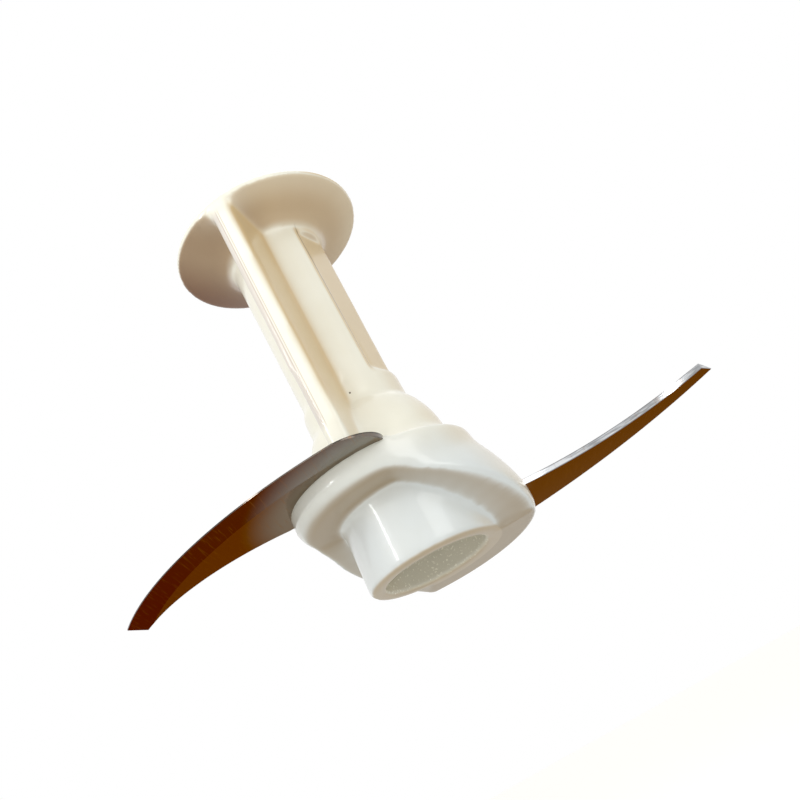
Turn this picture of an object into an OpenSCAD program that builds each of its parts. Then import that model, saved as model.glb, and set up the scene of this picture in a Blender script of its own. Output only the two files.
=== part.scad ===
// Food processor blade: a moulded hub with a tall winged stem and a round grip disc,
// and two sickle blades of steel held in it at two heights.
// The spin axis is Z, the drive boss opens downward at z = 0.

/* [Drive boss] */
// Outer diameter of the drive boss at its mouth
boss_d = 37.5; // [35:0.5:40]
// How much narrower the boss is at its root, across the diameter
boss_draft = 1.5; // [0:0.1:2]
// Diameter of the drive bore
bore_d = 28.6; // [24:0.2:30]
// Depth of the drive bore
bore_depth = 23; // [18:0.5:24]
// Diameter of the spindle bore above the drive bore
spindle_d = 18; // [14:0.5:20]
// Height at which the spindle bore ends
spindle_top = 104; // [90:1:106]
// Radius on the outer edge of the mouth
mouth_round = 1; // [0.5:0.1:1.5]

/* [Hub body] */
// Diameter of the hub body at its widest
body_d = 60; // [58:0.5:64]
// Height of the widest ring
belt_z = 7.6; // [6:0.2:9]
// Radius of the bell-shaped side
bell_r = 56.5; // [45:0.5:80]
// Diameter of the shoulder above the bell
shoulder_d = 38.6; // [38:0.2:42]
// Height of the crease between bell and shoulder
crease_z = 31.4; // [30:0.2:34]
// Radius of the shoulder's dome
shoulder_round = 21; // [19:0.5:26]
// Radius on the lower edge of the body
edge_round = 3; // [2:0.2:3.4]
// How far the wall leans in over the raised underside
wall_lean = 1.2; // [0.5:0.1:2]
// Height of the raised underside below the upper blade
roof_z = 19.8; // [17:0.2:21]
// Angle where the front ramp touches down
ramp_front_end = -8; // [-20:1:-4]
// Angle where the front ramp reaches full height
ramp_front_top = -90; // [-100:1:-80]
// Angle where the back ramp reaches full height
ramp_back_top = -188; // [-195:1:-180]
// Angle where the back ramp touches down
ramp_back_end = -262; // [-270:1:-255]

/* [Blade shelf] */
// Diameter of the shelf that carries the upper blade
shelf_d = 52; // [50:0.5:54]
// How far the shelf is set off the spin axis
shelf_offset = 3.4; // [2:0.2:4]
// Direction in which the shelf is set off
shelf_angle = -135; // [-145:1:-125]

/* [Stem] */
// Diameter of the collar at the foot of the stem
collar_d = 29.1; // [28:0.1:31]
// Height at which the collar starts
collar_z = 45.6; // [44:0.2:47]
// Height of the collar
collar_h = 6.4; // [4:0.2:8]
// Length over which the collar blends into the stem
collar_blend = 3.6; // [2:0.2:5]
// Diameter of the stem just above the collar
stem_d = 26.9; // [26:0.1:28]
// Diameter of the stem below the disc
stem_top_d = 28.5; // [27:0.1:29]
// Distance of the side flats from the spin axis
flat_dist = 12.9; // [12.6:0.1:13.4]
// Direction that the first side flat faces
flat_angle = -27; // [-32:1:-24]
// How far the raised pads stand out over the stem
pad_h = 0.45; // [0.2:0.05:0.8]
// Angle where the raised pad ends beside the flat
pad_edge = -50.5; // [-56:0.5:-48]

/* [Wings] */
// Thickness of each wing
wing_t = 5.4; // [4:0.1:6]
// Reach of the wings at the disc, from the spin axis
wing_reach_top = 29; // [27:0.2:29.4]
// Reach of the wings at the hub body
wing_reach_low = 27; // [25:0.2:28]
// Direction of the first wing
wing_angle = -105.5; // [-112:0.5:-100]

/* [Grip disc] */
// Diameter of the disc
disc_d = 58.6; // [56:0.2:62]
// Overall height of the hub
total_h = 115.6; // [110:0.2:120]
// Height of the disc's rim
rim_h = 2.2; // [1.8:0.1:3.5]
// Slope of the disc's underside, in degrees
disc_slope = 14; // [8:1:18]
// Radius where the stem flares into the disc
flare_r = 6; // [4:0.5:8]

/* [Blades] */
// Diameter swept by the blade tips
swept_d = 170; // [164:1:176]
// Thickness of the blade steel
blade_t = 1.6; // [1.2:0.1:2]
// Height of the upper blade's underside
upper_z = 26.6; // [25.8:0.1:27.4]
// Height of the lower blade's underside
lower_z = 8.6; // [7:0.1:10]
// Radius of the cutting edge, over the swept radius
cut_bow = 1.306; // [1.2:0.01:1.5]
// Radius of the hollow back edge, over the swept radius
back_bow = 0.654; // [0.6:0.01:0.75]
// Width of the ground bevel
bevel_w = 6.5; // [4:0.5:8]
// Thickness left at the cutting edge
edge_t = 0.3; // [0.2:0.1:0.5]
// Angle of the tip, seen from the spin axis
tip_dir = 172.35; // [165:0.05:175]
// Width of the blunt tip
tip_w = 6; // [4:0.5:9]
// Slant of the blunt tip
tip_slant = 50.4; // [40:0.2:60]
// Where the cutting edge leaves the hub, to the side of the spin axis
edge_start_x = 12.1; // [10:0.1:14]
// Where the cutting edge leaves the hub, in front of the spin axis
edge_start_y = 35.8; // [34:0.1:38]
// Where the back edge leaves the hub, to the side of the spin axis
back_start_x = 31; // [29:0.5:33]
// Gap between the back edge at the hub and the spin axis
back_gap = 2; // [1:0.1:4]
// Direction of the blade's inner end, seen from the centre of its cutting edge
heel_dir = -99.3; // [-100:0.1:-98]
// Angle over which the bevel runs out past the start of the inner end
bevel_run_out = 7.5; // [6:0.5:9]
// Radius of the blade's inner end
heel_r = 11.3; // [10:0.1:12]
// Radius cleared around the bore inside the hub
core_r = 16.4; // [15.8:0.1:17]

/* [Hidden] */
$fn = 128;

boss_r = boss_d / 2;
body_r = body_d / 2;
shoulder_r = shoulder_d / 2;
collar_r = collar_d / 2;
stem_r = stem_d / 2;
stem_top_r = stem_top_d / 2;
disc_r = disc_d / 2;
swept_r = swept_d / 2;
cut_r = swept_r * cut_bow;
back_r = swept_r * back_bow;
// Height where the rim of the disc starts
rim_z = total_h - rim_h;
// Top of the collar and start of the plain stem
collar_top = collar_z + collar_h;
stem_z = collar_top + collar_blend;
// Steps used along the ramps, and on each rounded edge
ramp_step = 9;
round_steps = 4;
// Overlap of joined solids and run-out of cuts
lap = 1;
// The shelf holds the upper blade's underside in a shallow recess
recess = 0.5;
shelf_t = upper_z + recess - roof_z;
// Radius on the shelf's lower edge, and on the ring of the rim
shelf_round = min(edge_round, shelf_t / 2);
rim_round = min(0.9, rim_h / 2.2);

// Points along an arc around (cx, cy) from angle a0 to angle a1
function arc(cx, cy, r, a0, a1, n) =
    [for (i = [0:n]) let (a = a0 + (a1 - a0) * i / n) [cx + r * cos(a), cy + r * sin(a)]];

// Centre of the circle of radius r through p and q that lies on the axis side
function centre(p, q, r) =
    let (m = (p + q) / 2, d = q - p, l = norm(d), h = sqrt(r * r - l * l / 4))
    m + h / l * [-d[1], d[0]];

// Points of that circle from p to q
function bulge(p, q, r, n) =
    let (c = centre(p, q, r), u = p - c, v = q - c, a0 = atan2(u[1], u[0]), a1 = atan2(v[1], v[0]))
    arc(c[0], c[1], r, a0, a1, n);

// Bell of the hub body, from the bottom face to the crease
module bell() {
    side = bulge([body_r, belt_z], [shoulder_r, crease_z], bell_r, 12);
    rotate_extrude()
        polygon(concat([[0, 0]],
            arc(body_r - edge_round, edge_round, edge_round, -90, 0, round_steps),
            side, [[0, crease_z]]));
}

// Round shelf below the upper blade, set off towards that blade
module shelf() {
    r = shelf_d / 2;
    rotate([0, 0, shelf_angle]) translate([shelf_offset, 0, roof_z - lap])
        rotate_extrude()
            polygon(concat([[0, 0], [r, 0]],
                arc(r - shelf_round / 2, shelf_t + lap - shelf_round / 2, shelf_round / 2, 0, 90, round_steps),
                [[0, shelf_t + lap]]));
}

// Height of a ramp's underside at an angle. It starts a little below the bottom face
// and ends a little below the roof, so that each cut has a clean edge.
ramp_gap = 0.3;
function ease(u) = 0.75 * u + 0.25 * u * u * (3 - 2 * u);
function rise(u) = ease(u) * (roof_z - ramp_gap / 3) - (1 - u) * ramp_gap;

// Outer radius of the wall that stands over the underside at a height
function wall_r(z) = body_r - wall_lean * z / roof_z;

// One radial section of the space below the body: it rises in an arc at the wall
function section(z) =
    let (w = wall_r(z) - edge_round)
    concat([[boss_r - 2 * lap, -lap], [boss_r - 2 * lap, z]],
        [for (i = [0:round_steps]) let (g = 90 * i / round_steps)
            [w + edge_round * sin(g), z + edge_round * (1 - cos(g))]],
        [[w + edge_round + 2 * lap, z + edge_round + lap], [w + edge_round + 2 * lap, -lap]]);

// Space below one ramp, between two rising angles; foot is the one that touches down
module ramp_space(first, last, foot) {
    span = last - first;
    count = ceil(span / ramp_step);
    angles = [for (i = [0:count]) first + span * i / count];
    m = round_steps + 5;
    points = [for (a = angles) for (p = section(rise(abs(a - foot) / span)))
        [p[0] * cos(a), p[0] * sin(a), p[1]]];
    polyhedron(points, concat(
        [[for (j = [0:m - 1]) j]],
        [for (i = [0:count - 1]) for (j = [0:m - 1]) let (k = (j + 1) % m)
            each [[i * m + j, (i + 1) * m + k, i * m + k], [i * m + j, (i + 1) * m + j, (i + 1) * m + k]]],
        [[for (j = [m - 1:-1:0]) count * m + j]]));
}

// Space below the flat roof, run a little into both ramps
module roof_space() {
    rotate([0, 0, ramp_back_top - lap])
        rotate_extrude(angle = ramp_front_top - ramp_back_top + 2 * lap)
            polygon(section(roof_z));
}

// Hub body: bell and shelf, with the roof and both ramps cut one after the other
module body() {
    difference() {
        difference() {
            difference() {
                union() {
                    bell();
                    shelf();
                }
                roof_space();
            }
            ramp_space(ramp_front_top, ramp_front_end, ramp_front_end);
        }
        ramp_space(ramp_back_end, ramp_back_top, ramp_back_end);
    }
}

// Drive boss below the body
module boss() {
    top_z = roof_z + lap;
    rotate_extrude()
        polygon(concat([[0, 0]],
            arc(boss_r - mouth_round, mouth_round, mouth_round, -90, 0, round_steps),
            [[boss_r - boss_draft / 2, top_z], [0, top_z]]));
}

// Radius of the plain stem at a height
function stem_at(z) = stem_r + (stem_top_r - stem_r) * (z - stem_z) / (rim_z - stem_z);

// Shoulder, collar and stem with the disc on top, in one turned outline
module column() {
    flare_x = stem_top_r + flare_r;
    flare_z = rim_z - (disc_r - flare_x) * tan(disc_slope) - flare_r / cos(disc_slope);
    rotate_extrude()
        polygon(concat([[0, crease_z - lap], [shoulder_r, crease_z - lap]],
            bulge([shoulder_r, crease_z], [collar_r, collar_z], shoulder_round, 10),
            [[collar_r, collar_top]],
            [for (i = [1:round_steps]) let (u = i / round_steps)
                [stem_r + (collar_r - stem_r) * (1 + cos(180 * u)) / 2, collar_top + collar_blend * u]],
            arc(flare_x, flare_z, flare_r, 180, 90 + disc_slope, 8),
            arc(disc_r - rim_round, rim_z + rim_round, rim_round, -90, 0, 4),
            arc(disc_r - rim_round, total_h - rim_round, rim_round, 0, 90, 4),
            [[0, total_h]]));
}

// Flat faces on both sides of the stem
module flats() {
    for (turn = [0, 180])
        rotate([0, 0, flat_angle + turn])
            translate([flat_dist, -collar_d / 2, stem_z - collar_blend / 2])
                cube([collar_d, collar_d, total_h - rim_h - flare_r - stem_z]);
}

// Raised pads that run up both faces of the stem beside the wings
module pads() {
    for (turn = [0, 180])
        rotate([0, 0, wing_angle + turn])
            rotate_extrude(angle = pad_edge - wing_angle)
                polygon([[spindle_d / 2 + lap, collar_z + lap], [collar_r, collar_z + lap],
                    [collar_r, collar_top], [stem_at(rim_z) + pad_h, rim_z - flare_r],
                    [spindle_d / 2 + lap, rim_z - flare_r]]);
}

// Wing from the stem out to the rim of the disc
module wing(turn, foot_z) {
    rotate([0, 0, wing_angle + turn]) rotate([90, 0, 0])
        linear_extrude(height = wing_t, center = true)
            polygon([[spindle_d / 2 + lap, foot_z], [wing_reach_low, foot_z],
                [wing_reach_top, rim_z + rim_round], [spindle_d / 2 + lap, rim_z + rim_round]]);
}

// Places on the outline of one blade, seen from above, with its tip at the left
tip = swept_r * [cos(tip_dir), sin(tip_dir)];
tip_back = tip + tip_w * [cos(tip_slant), sin(tip_slant)];
edge_start = [-edge_start_x, -edge_start_y];
back_start = [-back_start_x, -back_gap];
cut_centre = centre(tip, edge_start, cut_r);
back_centre = centre(tip_back, back_start, back_r);
heel = cut_centre + (cut_r - heel_r) * [cos(heel_dir), sin(heel_dir)];

module blade_outline() {
    difference() {
        union() {
            intersection() {
                translate(cut_centre) circle(r = cut_r, $fn = 360);
                translate([-swept_d, -swept_r]) square([swept_d + heel[0], swept_d]);
            }
            translate(heel) circle(r = heel_r);
            translate(heel) square([heel_r, -heel[1] - back_gap]);
        }
        translate(back_centre) circle(r = back_r, $fn = 240);
        translate(tip) rotate(tip_slant) translate([-swept_r, 0]) square([2 * swept_r, swept_r]);
        translate([-body_r, -back_gap]) square(body_d);
        circle(r = core_r);
    }
}

// One blade, lying on z = 0, with its cutting edge ground from below; the bevel runs out
// over the rounded inner end
module ground_blade() {
    difference() {
        linear_extrude(height = blade_t) blade_outline();
        translate([cut_centre[0], cut_centre[1], 0])
            rotate([0, 0, 180]) rotate_extrude(angle = 180 + heel_dir + bevel_run_out, $fn = 360)
                polygon([[cut_r - bevel_w, -lap / 100], [cut_r + lap, -lap / 100],
                    [cut_r + lap, blade_t - edge_t], [cut_r, blade_t - edge_t]]);
    }
}

module upper_blade() {
    color("silver") translate([0, 0, upper_z]) ground_blade();
}

// The lower blade has the same outline and is ground from above
module lower_blade() {
    color("silver") translate([0, 0, lower_z + blade_t]) mirror([0, 0, 1])
        rotate([0, 0, 180]) ground_blade();
}

module hub() {
    color("ivory") difference() {
        union() {
            body();
            boss();
            difference() {
                column();
                flats();
            }
            pads();
            wing(0, roof_z + lap);
            wing(180, belt_z + 2 * lap);
        }
        translate([0, 0, -lap]) cylinder(d = bore_d, h = bore_depth + lap);
        translate([0, 0, bore_depth - lap]) cylinder(d = spindle_d, h = spindle_top - bore_depth + lap);
        translate([0, 0, upper_z]) linear_extrude(height = blade_t) blade_outline();
        translate([0, 0, lower_z]) rotate([0, 0, 180]) linear_extrude(height = blade_t) blade_outline();
    }
}

hub();
upper_blade();
lower_blade();
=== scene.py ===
import math

import bpy
import numpy as np
from mathutils import Matrix, Vector


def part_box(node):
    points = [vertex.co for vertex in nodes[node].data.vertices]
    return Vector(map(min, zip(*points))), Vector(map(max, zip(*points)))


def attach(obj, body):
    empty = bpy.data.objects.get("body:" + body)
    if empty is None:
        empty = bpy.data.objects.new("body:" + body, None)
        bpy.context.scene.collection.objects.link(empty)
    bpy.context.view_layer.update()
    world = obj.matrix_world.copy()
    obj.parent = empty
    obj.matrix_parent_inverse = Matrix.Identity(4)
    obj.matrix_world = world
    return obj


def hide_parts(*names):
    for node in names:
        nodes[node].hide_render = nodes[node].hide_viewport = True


# Frame and its box
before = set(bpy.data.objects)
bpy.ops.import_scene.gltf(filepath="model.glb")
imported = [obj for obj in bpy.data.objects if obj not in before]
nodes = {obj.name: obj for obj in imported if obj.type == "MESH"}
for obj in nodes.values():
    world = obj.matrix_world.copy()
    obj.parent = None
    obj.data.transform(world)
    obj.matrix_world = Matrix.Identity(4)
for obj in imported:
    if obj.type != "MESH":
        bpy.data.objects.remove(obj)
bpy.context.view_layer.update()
scene = bpy.context.scene
MM = 0.001

# Sizes of the hub in millimetres and its directions in degrees, as in the part's source
WINGS = (-105.5, 74.5)
WING_HALF = 2.7
STEM_R = 13.55
COLLAR_TOP = 53.5
DISC_R = 29.3
RIM_Z = 113.4
DISC_SLOPE = 14.0
PAD_EDGE = -50.5

# Level directions as (x, y), for the masks of the plastic
FLAT_FACING = (0.89, -0.454)
FLANK_FACING = (0.966, -0.26)
ACROSS_WING = (0.9636, -0.2672)
ACROSS_PAD_EDGE = (math.sin(math.radians(-PAD_EDGE)), math.cos(math.radians(-PAD_EDGE)))
# side where the painted shade below the disc is deepest
DEEP_SHADE_SIDE = (-0.768, 0.64)
SHADED_SIDE = (1.0, 0.4)

# Softening of the hub: voxels in millimetres, then steps towards the mean of the neighbours
VOXEL = 0.62
SOFTEN_STEPS = 30
SHARED_STEPS = 6
STEP_SHARE = 0.5
SOFT_ENOUGH = 0.45


# Node helpers
def new_material(name):
    mat = bpy.data.materials.new(name)
    mat.use_nodes = True
    tree = mat.node_tree
    tree.nodes.clear()
    return mat, tree, tree.nodes.new("ShaderNodeOutputMaterial")


def put(tree, value, socket):
    """Link a socket, or set a plain value."""
    if isinstance(value, bpy.types.NodeSocket):
        tree.links.new(value, socket)
    elif isinstance(value, (tuple, list)):
        socket.default_value = tuple(value) + (1.0,) * (len(socket.default_value) - len(value))
    else:
        socket.default_value = value


def math_node(tree, op, a, b=0.0):
    n = tree.nodes.new("ShaderNodeMath")
    n.operation = op
    put(tree, a, n.inputs[0])
    put(tree, b, n.inputs[1])
    return n.outputs[0]


def times(tree, first, *others):
    """Product of sockets and plain values."""
    for other in others:
        first = math_node(tree, "MULTIPLY", first, other)
    return first


def toward(tree, xyz, direction):
    """How far a place or a normal lies in one level direction."""
    return math_node(tree, "ADD", times(tree, xyz[0], direction[0]), times(tree, xyz[1], direction[1]))


def axis_distance(tree, xyz):
    squares = math_node(tree, "ADD", times(tree, xyz[0], xyz[0]), times(tree, xyz[1], xyz[1]))
    return math_node(tree, "SQRT", squares)


def ramp_mask(tree, value, low, high):
    """0 below low, 1 above high, smooth between; low may be the larger."""
    n = tree.nodes.new("ShaderNodeMapRange")
    n.interpolation_type = "SMOOTHSTEP"
    put(tree, value, n.inputs["Value"])
    n.inputs["From Min"].default_value = low
    n.inputs["From Max"].default_value = high
    return n.outputs[0]


def mix_color(tree, mask, a, b, mode="MIX"):
    n = tree.nodes.new("ShaderNodeMix")
    n.data_type = "RGBA"
    n.blend_type = mode
    put(tree, mask, n.inputs[0])
    put(tree, a, n.inputs[6])
    put(tree, b, n.inputs[7])
    return n.outputs[2]


def lay_coats(tree, base, coats):
    """Lay each colour over the ones before it, where its mask is 1."""
    for mask, color in coats:
        base = mix_color(tree, mask, base, color)
    return base


def noise(tree, vector, scale, detail=3.0, rough=0.55):
    n = tree.nodes.new("ShaderNodeTexNoise")
    put(tree, vector, n.inputs["Vector"])
    n.inputs["Scale"].default_value = scale
    n.inputs["Detail"].default_value = detail
    n.inputs["Roughness"].default_value = rough
    return n.outputs["Fac"]


def stretched(tree, vector, scale, turn=0.0):
    """Coordinates scaled by a different amount along each axis."""
    n = tree.nodes.new("ShaderNodeMapping")
    n.inputs["Scale"].default_value = scale
    n.inputs["Rotation"].default_value = (0, 0, math.radians(turn))
    put(tree, vector, n.inputs["Vector"])
    return n.outputs[0]


def bumped(tree, height, strength, distance):
    n = tree.nodes.new("ShaderNodeBump")
    n.inputs["Strength"].default_value = strength
    n.inputs["Distance"].default_value = distance
    put(tree, height, n.inputs["Height"])
    return n.outputs[0]


def place(tree):
    """Object coordinates in metres, their parts and the surface normal's parts."""
    tc = tree.nodes.new("ShaderNodeTexCoord")
    sp = tree.nodes.new("ShaderNodeSeparateXYZ")
    tree.links.new(tc.outputs["Object"], sp.inputs[0])
    sn = tree.nodes.new("ShaderNodeSeparateXYZ")
    tree.links.new(tc.outputs["Normal"], sn.inputs[0])
    return tc.outputs["Object"], sp.outputs, sn.outputs


def srgb(r, g, b):
    def one(c):
        c /= 255.0
        return c / 12.92 if c <= 0.04045 else ((c + 0.055) / 1.055) ** 2.4

    return (one(r), one(g), one(b))


def group(name, inputs, outputs):
    g = bpy.data.node_groups.new(name, "ShaderNodeTree")
    for label, kind, value in inputs:
        s = g.interface.new_socket(label, in_out="INPUT", socket_type=kind)
        s.default_value = value
    for label, kind in outputs:
        g.interface.new_socket(label, in_out="OUTPUT", socket_type=kind)
    return g, g.nodes.new("NodeGroupInput"), g.nodes.new("NodeGroupOutput")


def use(tree, g, **values):
    n = tree.nodes.new("ShaderNodeGroup")
    n.node_tree = g
    for k, v in values.items():
        put(tree, v, n.inputs[k.replace("_", " ")])
    return n


# Shared group: fine wear, as a tone to multiply the colour by, a roughness and a bump height
WEAR_TONE = (0.10, 0.13, 0.20)
WEAR_ROUGHNESS = 0.12
wear, gi, go = group(
    "fine_wear",
    [("Position", "NodeSocketVector", (0, 0, 0)), ("Amount", "NodeSocketFloat", 0.5),
     ("Base Roughness", "NodeSocketFloat", 0.3)],
    [("Tone", "NodeSocketColor"), ("Roughness", "NodeSocketFloat"), ("Height", "NodeSocketFloat")],
)
cloud = noise(wear, gi.outputs["Position"], 60.0)
grain = noise(wear, gi.outputs["Position"], 900.0, 4.0, 0.6)
shade = times(wear, math_node(wear, "SUBTRACT", cloud, 0.5), gi.outputs["Amount"])
tone = wear.nodes.new("ShaderNodeCombineColor")
for i, k in enumerate(WEAR_TONE):
    wear.links.new(math_node(wear, "ADD", times(wear, shade, k), 1.0), tone.inputs[i])
wear.links.new(tone.outputs[0], go.inputs["Tone"])
rough = math_node(wear, "ADD", gi.outputs["Base Roughness"],
                  times(wear, math_node(wear, "SUBTRACT", grain, 0.45), WEAR_ROUGHNESS))
wear.links.new(rough, go.inputs["Roughness"])
wear.links.new(math_node(wear, "ADD", times(wear, cloud, 0.35), grain), go.inputs["Height"])


def disc_underside_shade(tree, p, radius):
    """Painted shade and brown reflection below the disc: tan, browner on the side that the stem hides, and
    paler painted light towards the rim.
    """
    hidden = toward(tree, p, DEEP_SHADE_SIDE)
    shaded = ramp_mask(tree, toward(tree, p, SHADED_SIDE), 0.0, -0.022)
    border = times(tree, ramp_mask(tree, radius, 0.020, 0.029), ramp_mask(tree, hidden, 0.004, -0.016))
    return lay_coats(tree, srgb(212, 189, 155), [
        (shaded, srgb(176, 149, 119)),
        (ramp_mask(tree, hidden, 0.006, 0.027), srgb(126, 82, 48)),
        (times(tree, border, 0.6), srgb(240, 228, 204)),
    ])


def pad_line(tree, p, radius):
    """Fine dark line where the raised pad ends beside the side flat: painted shade of the small step there.
    """
    off = math_node(tree, "ABSOLUTE", toward(tree, p, ACROSS_PAD_EDGE))
    return times(tree, ramp_mask(tree, off, 0.00042, 0.0001), ramp_mask(tree, p[2], 0.053, 0.056),
                 ramp_mask(tree, p[2], 0.109, 0.104), ramp_mask(tree, radius, 0.0160, 0.0150))


def wing_seam(tree, p):
    """Double mould seam along the outer face of the front wing, and beside it a greyer strip of painted
    shade.
    """
    middle, half_gap = 0.00105, 0.00035
    across = toward(tree, p, ACROSS_WING)
    outer = times(tree, ramp_mask(tree, p[1], -0.0225, -0.0240), ramp_mask(tree, p[2], 0.036, 0.040),
                  ramp_mask(tree, p[2], 0.113, 0.109))
    off = math_node(tree, "ABSOLUTE", math_node(tree, "ADD", across, middle))
    off = math_node(tree, "ABSOLUTE", math_node(tree, "SUBTRACT", off, half_gap))
    seam = times(tree, ramp_mask(tree, off, 0.00022, 0.00008), outer)
    strip = times(tree, outer, ramp_mask(tree, across, -0.0006, -0.0014))
    return seam, strip


def speck(tree, pos):
    """Small dark speck on the collar."""
    n = tree.nodes.new("ShaderNodeVectorMath")
    n.operation = "DISTANCE"
    put(tree, pos, n.inputs[0])
    n.inputs[1].default_value = (0.00072, -0.01450, 0.0483)
    return ramp_mask(tree, n.outputs["Value"], 0.00036, 0.00018)


# Plastic of the hub
def plastic():
    mat, tree, out = new_material("cream_plastic")
    pos, p, n = place(tree)
    w = use(tree, wear, Position=pos, Amount=1.0, Base_Roughness=0.3)
    # the boss and lowest body are painted a cooler white, as painted cool light from the left and below
    cream, cool_lit_white = srgb(248, 246, 232), srgb(225, 231, 232)
    painted_tan_shade = srgb(218, 192, 144)
    radius = axis_distance(tree, p)
    down = times(tree, n[2], -1.0)

    # painted tan shade on the flank of the wing, on the side flat and wherever it faces +X
    boss = ramp_mask(tree, p[2], 0.036, 0.012)
    turned = ramp_mask(tree, n[0], 0.6, 1.0)
    side = times(tree, ramp_mask(tree, toward(tree, n, FLAT_FACING), 0.86, 0.97),
                 ramp_mask(tree, p[2], 0.052, 0.056))
    flank = times(tree, ramp_mask(tree, p[2], 0.036, 0.05), ramp_mask(tree, p[0], 0.003, -0.001),
                  ramp_mask(tree, toward(tree, n, FLANK_FACING), 0.15, 0.95))
    # painted brown shade and reflection on the undersides, and on the ring round the mouth
    under = ramp_mask(tree, down, 0.25, 0.8)
    flat = ramp_mask(tree, down, 0.58, 1.0)
    high = ramp_mask(tree, p[2], 0.100, 0.108)
    foot = ramp_mask(tree, p[2], 0.030, 0.024)
    mouth = times(tree, ramp_mask(tree, p[2], 0.0016, 0.0006), ramp_mask(tree, radius, 0.0190, 0.0184))
    # grey-green painted shade inside the bore, with bright painted glints as sparks
    inside = times(tree, ramp_mask(tree, radius, 0.0150, 0.0145), ramp_mask(tree, p[2], 0.040, 0.036))
    painted_glint = ramp_mask(tree, noise(tree, pos, 1500.0, 1.0), 0.60, 0.72)
    seam, strip = wing_seam(tree, p)

    col = lay_coats(tree, cream, [
        (boss, cool_lit_white),
        (times(tree, turned, 0.5), painted_tan_shade),
        (times(tree, side, 0.7), painted_tan_shade),
        (times(tree, flank, 0.8), painted_tan_shade),
        (times(tree, under, high), disc_underside_shade(tree, p, radius)),
        (times(tree, flat, foot), srgb(172, 155, 129)),
        (times(tree, under, mouth), srgb(192, 176, 150)),
        (times(tree, inside, 0.75), srgb(222, 216, 196)),
        (times(tree, inside, painted_glint), srgb(255, 253, 240)),
        (times(tree, pad_line(tree, p, radius), 0.75), srgb(120, 95, 60)),
        (speck(tree, pos), srgb(95, 82, 58)),
        # painted shade on the greyer strip of the wing's outer face
        (times(tree, strip, 0.8), srgb(222, 214, 208)),
        (times(tree, seam, 0.5), srgb(170, 150, 125)),
    ])
    col = mix_color(tree, 1.0, col, w.outputs["Tone"], "MULTIPLY")
    b = tree.nodes.new("ShaderNodeBsdfPrincipled")
    put(tree, col, b.inputs["Base Color"])
    put(tree, w.outputs["Roughness"], b.inputs["Roughness"])
    b.inputs["IOR"].default_value = 1.48
    b.inputs["Coat Weight"].default_value = 0.5
    b.inputs["Coat Roughness"].default_value = 0.07
    put(tree, bumped(tree, w.outputs["Height"], 0.12, 0.0001), b.inputs["Normal"])
    tree.links.new(b.outputs[0], out.inputs[0])
    return mat


# Polished steel of the blades, with the dark warm reflection painted on its underside
def steel(node, root, painted_side_tone):
    """Steel of one blade: root is the radius where the painted grey reflection at its root starts to turn
    brown; painted_side_tone is the painted brightness of its thin side, lit on the lower blade and shaded on
    the upper.
    """
    mat, tree, out = new_material("polished_steel_" + node.removesuffix("_blade"))
    pos, p, n = place(tree)
    w = use(tree, wear, Position=pos, Amount=0.6, Base_Roughness=0.13)
    radius = axis_distance(tree, p)
    down = times(tree, n[2], -1.0)
    underside = ramp_mask(tree, down, 0.5, 0.8)

    # underside: painted reflection, brown, redder on the ground bevel, grey near the root
    bevel = times(tree, ramp_mask(tree, down, 0.7, 0.9), ramp_mask(tree, down, 0.999, 0.992))
    dark = lay_coats(tree, srgb(116, 68, 46), [
        (bevel, srgb(92, 40, 12)),
        (ramp_mask(tree, radius, root + 0.017, root + 0.003), srgb(150, 148, 142)),
    ])
    # thin side: painted light and reflection streaks, with painted shade lines along its two long edges
    low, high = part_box(node)
    middle = 0.5 * (low[2] + high[2])
    off = math_node(tree, "ABSOLUTE", math_node(tree, "SUBTRACT", p[2], middle))
    reflection_streaks = noise(tree, stretched(tree, pos, (110.0, 110.0, 900.0)), 1.0, 3.0, 0.6)
    thin_side = lay_coats(tree, painted_side_tone, [
        (ramp_mask(tree, reflection_streaks, 0.42, 0.66), tuple(0.42 * c for c in painted_side_tone)),
        (ramp_mask(tree, off, 0.00042, 0.00074), tuple(0.3 * c for c in painted_side_tone)),
    ])
    # fine grinding lines across the blade
    lines = noise(tree, stretched(tree, pos, (2600.0, 160.0, 160.0), 25), 1.0, 2.0)
    level = ramp_mask(tree, math_node(tree, "ABSOLUTE", n[2]), 0.3, 0.6)
    col = lay_coats(tree, thin_side, [
        (level, srgb(176, 174, 171)),
        (underside, dark),
        (times(tree, ramp_mask(tree, lines, 0.55, 0.75), 0.25), srgb(160, 110, 60)),
    ])
    col = mix_color(tree, 1.0, col, w.outputs["Tone"], "MULTIPLY")
    b = tree.nodes.new("ShaderNodeBsdfPrincipled")
    put(tree, col, b.inputs["Base Color"])
    b.inputs["Metallic"].default_value = 1.0
    # warm specular tint on the underside: painted reflection of the brown surroundings
    put(tree, mix_color(tree, underside, (1.0, 1.0, 1.0), srgb(205, 176, 150)), b.inputs["Specular Tint"])
    put(tree, w.outputs["Roughness"], b.inputs["Roughness"])
    put(tree, bumped(tree, lines, 0.08, 0.00005), b.inputs["Normal"])
    tree.links.new(b.outputs[0], out.inputs[0])
    return mat


# Extra solids that the moulded hub takes in before it is softened, in millimetres
def turned(angle, points):
    """Points whose x runs outwards in one level direction, turned to that angle."""
    c, s = math.cos(math.radians(angle)), math.sin(math.radians(angle))
    return [(x * c - y * s, x * s + y * c, *rest) for x, y, *rest in points]


def prism(outline, z0, z1):
    """Closed prism over a list of (x, y), counter-clockwise, as vertices and faces."""
    k = len(outline)
    verts = [(x, y, z0) for x, y in outline] + [(x, y, z1) for x, y in outline]
    faces = [tuple(range(k - 1, -1, -1)), tuple(range(k, 2 * k))]
    faces += [(i, (i + 1) % k, k + (i + 1) % k, k + i) for i in range(k)]
    return verts, faces


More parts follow.
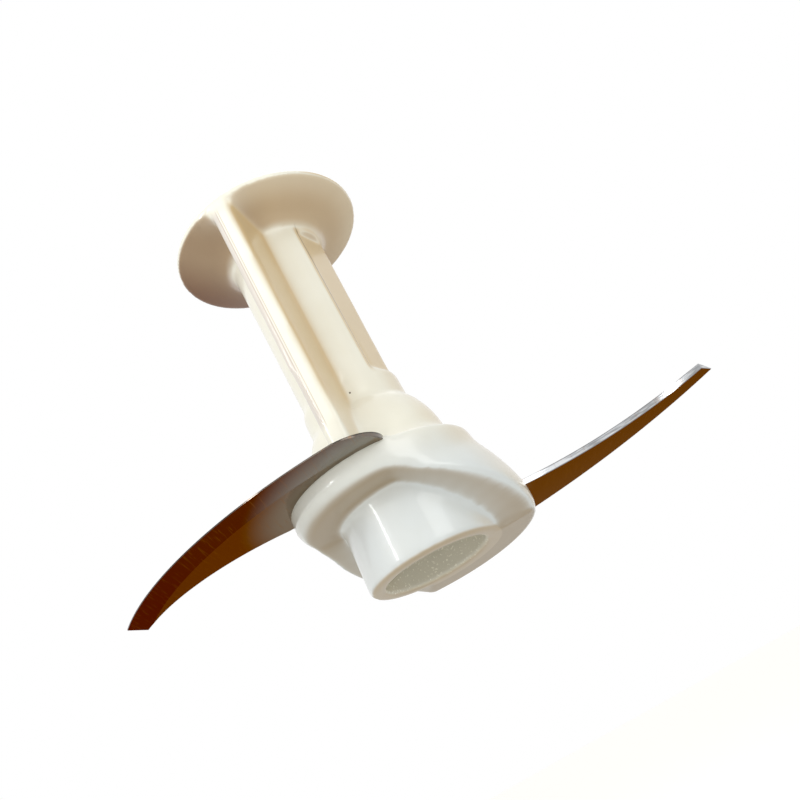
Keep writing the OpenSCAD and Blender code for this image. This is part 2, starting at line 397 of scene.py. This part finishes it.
def ring_sector(a0, a1, r0, r1, z0, z1, steps=24):
    """Sector of a ring between two angles: it fills the pocket round a blade's root."""
    angles = [math.radians(a0 + (a1 - a0) * i / steps) for i in range(steps + 1)]
    outer = [(r1 * math.cos(a), r1 * math.sin(a)) for a in angles]
    inner = [(r0 * math.cos(a), r0 * math.sin(a)) for a in reversed(angles)]
    return prism(outer + inner, z0, z1)


def shelf_plate(r=26.3, offset=2.4, z0=22.5, z1=27.3, steps=64):
    """Round plate that closes the gap between the blade shelf and the upper blade."""
    angles = [2 * math.pi * i / steps for i in range(steps)]
    return prism([(r * math.cos(a) - offset, r * math.sin(a) - offset) for a in angles], z0, z1)


def wing_fillet(angle, side, z0=50.0, z1=110.0, rho=3.4, steps=8):
    """Concave fillet between the stem and one side of a wing."""
    v = WING_HALF + rho
    u = math.sqrt((STEM_R + rho) ** 2 - v * v)
    start = math.atan2(-v, -u) % (2 * math.pi)
    end = 1.5 * math.pi
    arc = [(u + rho * math.cos(t), v + rho * math.sin(t))
           for t in (start + (end - start) * i / steps for i in range(steps + 1))]
    outline = [(x, y * side) for x, y in arc + [(STEM_R - 2.0, WING_HALF - 1.2)]]
    if side < 0:
        outline.reverse()
    return prism(turned(angle, outline), z0, z1)


def wing_skin(angle, half=3.2, low=(27.3, 30.5), high=(29.3, 111.5), inner=14.0):
    """Slightly larger wing, which the softening brings back to the real one with round corners."""
    corners = [(u, v, z) for reach, z in (low, high)
               for u, v in ((inner, -half), (reach, -half), (reach, half), (inner, half))]
    faces = [(3, 2, 1, 0), (4, 5, 6, 7)]
    faces += [(i, (i + 1) % 4, 4 + (i + 1) % 4, 4 + i) for i in range(4)]
    return turned(angle, corners), faces


def disc_fillet(angle, side, inner=12.0, outer=28.2, rho=4.5, sunk=0.8, steps=8):
    """Concave fillet between one side of a wing and the sloping underside of the disc."""
    section = [(WING_HALF - 1.0, sunk), (WING_HALF - 1.0, -rho)]
    section += [(WING_HALF + rho - rho * math.cos(t), rho * math.sin(t) - rho)
                for t in (math.pi / 2 * i / steps for i in range(steps + 1))]
    section.append((WING_HALF + rho, sunk))
    points = []
    for u in (inner, outer):
        z = RIM_Z - (DISC_R - u) * math.tan(math.radians(DISC_SLOPE))
        points += [(u, v * side, z + w) for v, w in section]
    k = len(section)
    faces = [tuple(range(k)), tuple(range(2 * k - 1, k - 1, -1))]
    faces += [(k + i, k + (i + 1) % k, (i + 1) % k, i) for i in range(k)]
    if side < 0:
        faces = [tuple(reversed(f)) for f in faces]
    return turned(angle, points), faces


def softness(co):
    """How much each vertex of the hub is softened, from 0 to 1; a later region goes over an earlier one."""
    x, y, z = co[:, 0] / MM, co[:, 1] / MM, co[:, 2] / MM
    r = np.hypot(x, y)
    bearing = np.degrees(np.arctan2(y, x))
    from_wing = np.abs((bearing - WINGS[0] + 90.0) % 180.0 - 90.0)
    upper = z < 112.0
    regions = (
        ((z > 1.2) & (z < COLLAR_TOP) & (r > 17.0), 1.0),                             # body and collar
        (z > 113.0, 0.3),                                                             # disc's rim
        ((z > 103.0) & (z < 113.0) & (r > 11.0), 0.7),                                # flare below the disc
        ((z > 22.8) & (z < 29.5) & (r > 21.0) & (x < 4.0) & (y < 3.0), 0.08),         # shelf below the blade
        (r < 15.0, 0.3),                                                              # bore and stem
        (upper & (z > COLLAR_TOP) & (r > 12.0) & (r < 22.0) & (from_wing < 34.0), 1.0),  # beside the wings
        (upper & (z > 53.0) & (r >= 22.0), 0.8),                                      # wings' outer faces
        ((z < 1.2) & (r < 20.5), 0.5),                                                # ring round the mouth
    )
    weight = np.full(len(co), 0.35)
    for where, value in regions:
        weight[where] = value
    return weight[:, None]


def remeshed_hub():
    """The hub's CAD mesh with the extra solids, as one closed mesh of even voxels."""
    source = nodes["hub"].data
    verts = [tuple(v.co) for v in source.vertices]
    faces = [tuple(f.vertices) for f in source.polygons]
    extra = [
        ring_sector(-178, -82, 15.6, 20.4, 26.2, 28.7),
        ring_sector(2, 95, 15.6, 28.9, 8.2, 10.7),
        shelf_plate(),
    ]
    for angle in WINGS:
        extra.append(wing_skin(angle))
        for side in (1, -1):
            extra += [wing_fillet(angle, side), disc_fillet(angle, side)]
    for vs, fs in extra:
        first = len(verts)
        verts += [tuple(c * MM for c in v) for v in vs]
        faces += [tuple(first + i for i in f) for f in fs]
    mesh = bpy.data.meshes.new("hub_source")
    mesh.from_pydata(verts, [], faces)
    temp = bpy.data.objects.new("hub_source", mesh)
    scene.collection.objects.link(temp)
    mod = temp.modifiers.new("voxels", "REMESH")
    mod.mode = "VOXEL"
    mod.voxel_size = VOXEL * MM
    mod.adaptivity = 0.0
    dg = bpy.context.evaluated_depsgraph_get()
    result = bpy.data.meshes.new_from_object(temp.evaluated_get(dg))
    bpy.data.objects.remove(temp)
    return result


def hub_mesh():
    """The remeshed hub with softened edges, kept inside the CAD hub's box."""
    result = remeshed_hub()
    count = len(result.vertices)
    co = np.zeros(count * 3)
    result.vertices.foreach_get("co", co)
    co = co.reshape(-1, 3)
    edges = np.zeros(len(result.edges) * 2, dtype=np.int64)
    result.edges.foreach_get("vertices", edges)
    a, b = edges[0::2], edges[1::2]
    degree = np.bincount(a, minlength=count) + np.bincount(b, minlength=count)
    degree = np.maximum(degree, 1)[:, None]

    def mean_of_neighbours(values):
        columns = [np.bincount(a, values[b, i], count) + np.bincount(b, values[a, i], count)
                   for i in range(values.shape[1])]
        return np.stack(columns, 1) / degree

    soft = softness(co)
    for _ in range(4):
        soft = mean_of_neighbours(soft)
    for i in range(SOFTEN_STEPS):
        moving = 1.0 if i < SHARED_STEPS else (soft > SOFT_ENOUGH)
        co += STEP_SHARE * (mean_of_neighbours(co) - co) * soft * moving
    low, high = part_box("hub")
    co = np.clip(co, np.array(low), np.array(high))
    result.vertices.foreach_set("co", co.astype(np.float32).ravel())
    result.update()
    result.name = "moulded_hub"
    result.shade_smooth()
    return result


hub = bpy.data.objects.new("moulded_hub", hub_mesh())
scene.collection.objects.link(hub)
hub.data.materials.clear()
hub.data.materials.append(plastic())
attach(hub, "root")
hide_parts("hub")

# Blades keep their CAD meshes; each thin side's tone is painted light, bright on the lower blade and shaded
# on the upper
for name, root, painted_side_tone in (("upper_blade", 0.027, srgb(120, 112, 104)),
                              ("lower_blade", 0.018, srgb(226, 228, 230))):
    blade = nodes[name]
    blade.data.materials.clear()
    blade.data.materials.append(steel(name, root, painted_side_tone))

# Pale floor well below the part, which is seen from underneath; white where the camera sees it
FLOOR_Z = -0.16
FLOOR_HALF = 4.0
floor_mesh = bpy.data.meshes.new("floor")
floor_mesh.from_pydata([(x * FLOOR_HALF, y * FLOOR_HALF, 0) for x, y in ((-1, -1), (1, -1), (1, 1), (-1, 1))],
                       [], [(0, 1, 2, 3)])
floor = bpy.data.objects.new("floor", floor_mesh)
floor.location = (0, 0, FLOOR_Z)
scene.collection.objects.link(floor)
mat, tree, out = new_material("pale_floor")
diffuse = tree.nodes.new("ShaderNodeBsdfPrincipled")
diffuse.inputs["Base Color"].default_value = (0.8, 0.79, 0.77, 1)
diffuse.inputs["Roughness"].default_value = 0.9
path = tree.nodes.new("ShaderNodeLightPath")
tree.links.new(path.outputs["Is Camera Ray"], diffuse.inputs["Emission Strength"])
diffuse.inputs["Emission Color"].default_value = (0.45, 0.45, 0.45, 1)
tree.links.new(diffuse.outputs[0], out.inputs[0])
floor_mesh.materials.append(mat)

# White surroundings for what the camera sees, directly or mirrored; softer as a light
world = bpy.data.worlds.new("studio")
scene.world = world
world.use_nodes = True
tree = world.node_tree
tree.nodes.clear()
out = tree.nodes.new("ShaderNodeOutputWorld")
path = tree.nodes.new("ShaderNodeLightPath")
mirrored = math_node(tree, "MAXIMUM", path.outputs["Is Glossy Ray"], path.outputs["Is Transmission Ray"])
seen = math_node(tree, "MAXIMUM", path.outputs["Is Camera Ray"], mirrored)
bg = tree.nodes.new("ShaderNodeBackground")
tree.links.new(mix_color(tree, seen, (0.65, 0.640, 0.610), (1.0, 1.0, 1.0)), bg.inputs["Color"])
bg.inputs["Strength"].default_value = 1.0
tree.links.new(bg.outputs[0], out.inputs[0])


# Soft lights
def area(name, place_at, target, width, power, color=(1, 1, 1), height=None):
    """Area light aimed at a target: square, or a rectangle where a height is given."""
    light = bpy.data.lights.new(name, "AREA")
    light.shape = "RECTANGLE" if height else "SQUARE"
    light.size = width
    if height:
        light.size_y = height
    light.energy = power
    light.color = color
    ob = bpy.data.objects.new(name, light)
    ob.location = place_at
    ob.rotation_euler = (Vector(target) - Vector(place_at)).to_track_quat("-Z", "Y").to_euler()
    scene.collection.objects.link(ob)


STEM_FOOT = (0, 0, 0.05)
area("key", (-0.30, -0.50, 0.45), STEM_FOOT, 0.35, 0.85, (1.0, 0.99, 0.97))
area("fill", (0.42, -0.62, 0.20), STEM_FOOT, 0.4, 1.0, (1.0, 1.0, 0.98))
area("top", (0.05, 0.3, 0.7), STEM_FOOT, 0.5, 0.6)
area("strip", (-0.36, -0.30, 0.17), (0, 0, 0.02), 0.03, 0.5, height=0.30)

# Camera at the photograph's viewing angle
camera = bpy.data.cameras.new("camera")
camera.sensor_fit = "HORIZONTAL"
camera.sensor_width = 36.0
camera.lens = 36.46
camera.clip_start = 0.01
cam = bpy.data.objects.new("camera", camera)
scene.collection.objects.link(cam)
right = Vector((0.8837, 0.1483, -0.4439)).normalized()
back = Vector((-0.0539, -0.9099, -0.4112)).normalized()
up = back.cross(right).normalized()
right = up.cross(back)
turn = Matrix((right, up, back)).transposed().to_4x4()
cam.matrix_world = Matrix.Translation((0.0, -0.20633, -0.04698)) @ turn
scene.camera = cam
scene.view_settings.view_transform = "Standard"
